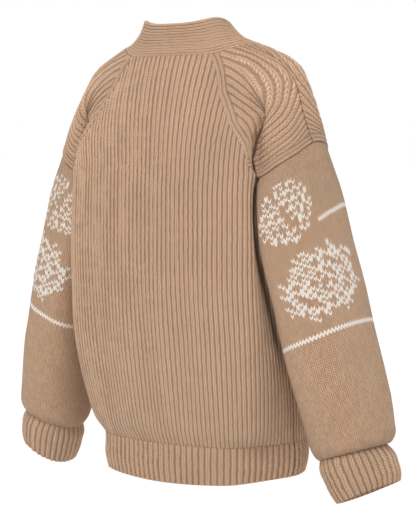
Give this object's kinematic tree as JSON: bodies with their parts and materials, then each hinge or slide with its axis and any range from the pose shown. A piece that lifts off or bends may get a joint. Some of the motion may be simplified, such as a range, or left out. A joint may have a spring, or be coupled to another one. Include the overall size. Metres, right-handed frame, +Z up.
{
  "type": "v-neck cardigan",
  "caption": "Hollow worn-shape v-neck cardigan with ribbed back and fronts, raglan shoulders, dropped plain sleeves, ribbed hem and cuffs, and one long buttoned front band.",
  "frame": {"origin": "the mount wearer_shoulders: midway between the two points where the neck seam crosses the top of the wearer's shoulders", "axes": "+Z up along the garment as it is worn, the buttoned front faces -Y, the wearer's left is +X"},
  "size_m": [0.625, 0.2587, 0.6521],
  "materials": {
    "camel_knit": "soft wool knit, matt",
    "horn_button": "polished horn look, semi-gloss"
  },
  "bodies": {
    "root": {"back_panel": "camel_knit", "left_front": "camel_knit", "right_front": "camel_knit", "hem_rib_back": "camel_knit", "hem_rib_left_front": "camel_knit", "hem_rib_right_front": "camel_knit", "left_shoulder_back": "camel_knit", "left_shoulder_front": "camel_knit", "right_shoulder_back": "camel_knit", "right_shoulder_front": "camel_knit", "left_sleeve": "camel_knit", "right_sleeve": "camel_knit", "left_cuff": "camel_knit", "right_cuff": "camel_knit", "neck_and_front_band": "camel_knit", "button_1": "horn_button", "button_2": "horn_button", "button_3": "horn_button", "button_4": "horn_button", "button_5": "horn_button"}
  },
  "joints": []
}
